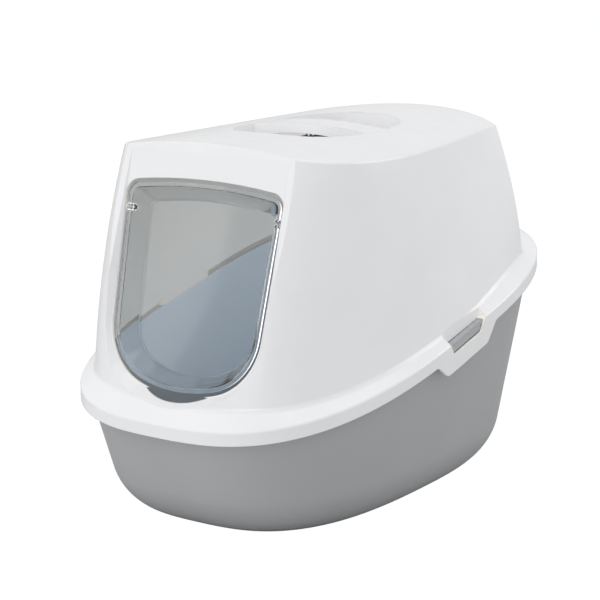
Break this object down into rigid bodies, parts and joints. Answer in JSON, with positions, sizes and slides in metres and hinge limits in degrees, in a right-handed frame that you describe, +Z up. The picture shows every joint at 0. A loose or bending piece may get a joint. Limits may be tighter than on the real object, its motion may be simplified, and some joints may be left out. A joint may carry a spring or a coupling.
{
  "type": "covered litter box",
  "caption": "Covered pet litter box: grey tray with a climbing rim, lift-off hood with a scooped front, clear two-way swing door, carry handle and filter.",
  "frame": {"origin": "middle of the tray's flat base, on the floor", "axes": "+Z up, +Y from the door to the rear, +X to the right seen from the door"},
  "size_m": [0.3903, 0.56, 0.395],
  "materials": {
    "grey_plastic": "satin moulded",
    "white_plastic": "satin moulded",
    "clear_plastic": "clear, lightly smoked",
    "filter_plastic": "satin moulded",
    "carbon_foam": "open foam"
  },
  "bodies": {
    "tray": {"litter_tray": "grey_plastic"},
    "hood": {"hood_shell": "white_plastic", "filter_tray": "filter_plastic", "carbon_filter": "carbon_foam"},
    "door": {"swing_door": "clear_plastic"}
  },
  "joints": [
    {"name": "hood_lift", "type": "slide", "parent": "tray", "child": "hood", "axis": [0, 0, 1], "range_m": [0, 0.16]},
    {"name": "door_swing", "type": "hinge", "parent": "hood", "child": "door", "pos_m": [0, -0.19913, 0.32071], "axis": [1, 0, 0], "range_deg": [-75, 75]}
  ]
}
